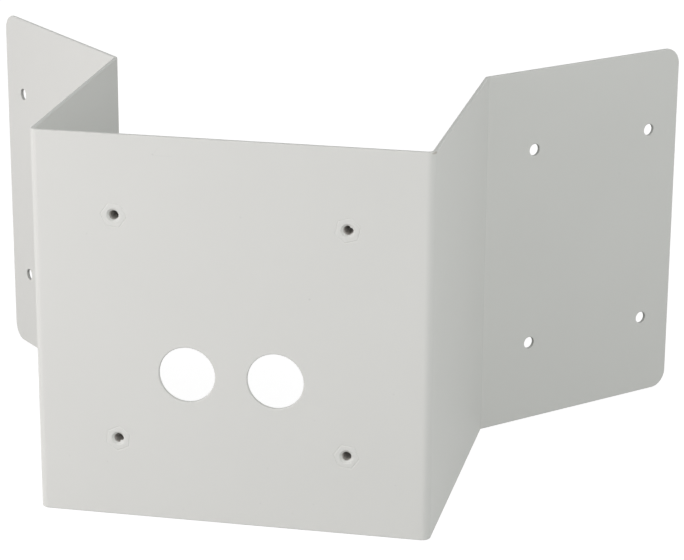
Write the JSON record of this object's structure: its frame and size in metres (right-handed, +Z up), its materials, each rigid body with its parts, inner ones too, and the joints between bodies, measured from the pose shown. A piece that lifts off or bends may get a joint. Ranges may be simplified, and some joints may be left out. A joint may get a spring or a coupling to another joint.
{
  "type": "camera corner mount bracket",
  "caption": "Folded sheet bracket that carries a camera on a building's outside corner: flat plate with threaded standoffs and cable holes, side webs and drilled wall wings.",
  "frame": {"origin": "middle of the camera plate's front face, which is also the middle of the square of threaded holes", "axes": "+X along the camera plate to its right end seen from the front, +Y back towards the building, +Z up"},
  "size_m": [0.2752, 0.1755, 0.14],
  "materials": {
    "sheet_coat": "light grey-white powder coat, satin, very fine orange peel",
    "standoff_coat": "same powder coat over steel, bare steel inside the thread"
  },
  "bodies": {
    "root": {"folded_bracket": "sheet_coat", "clinch_standoffs": "standoff_coat"}
  },
  "joints": []
}
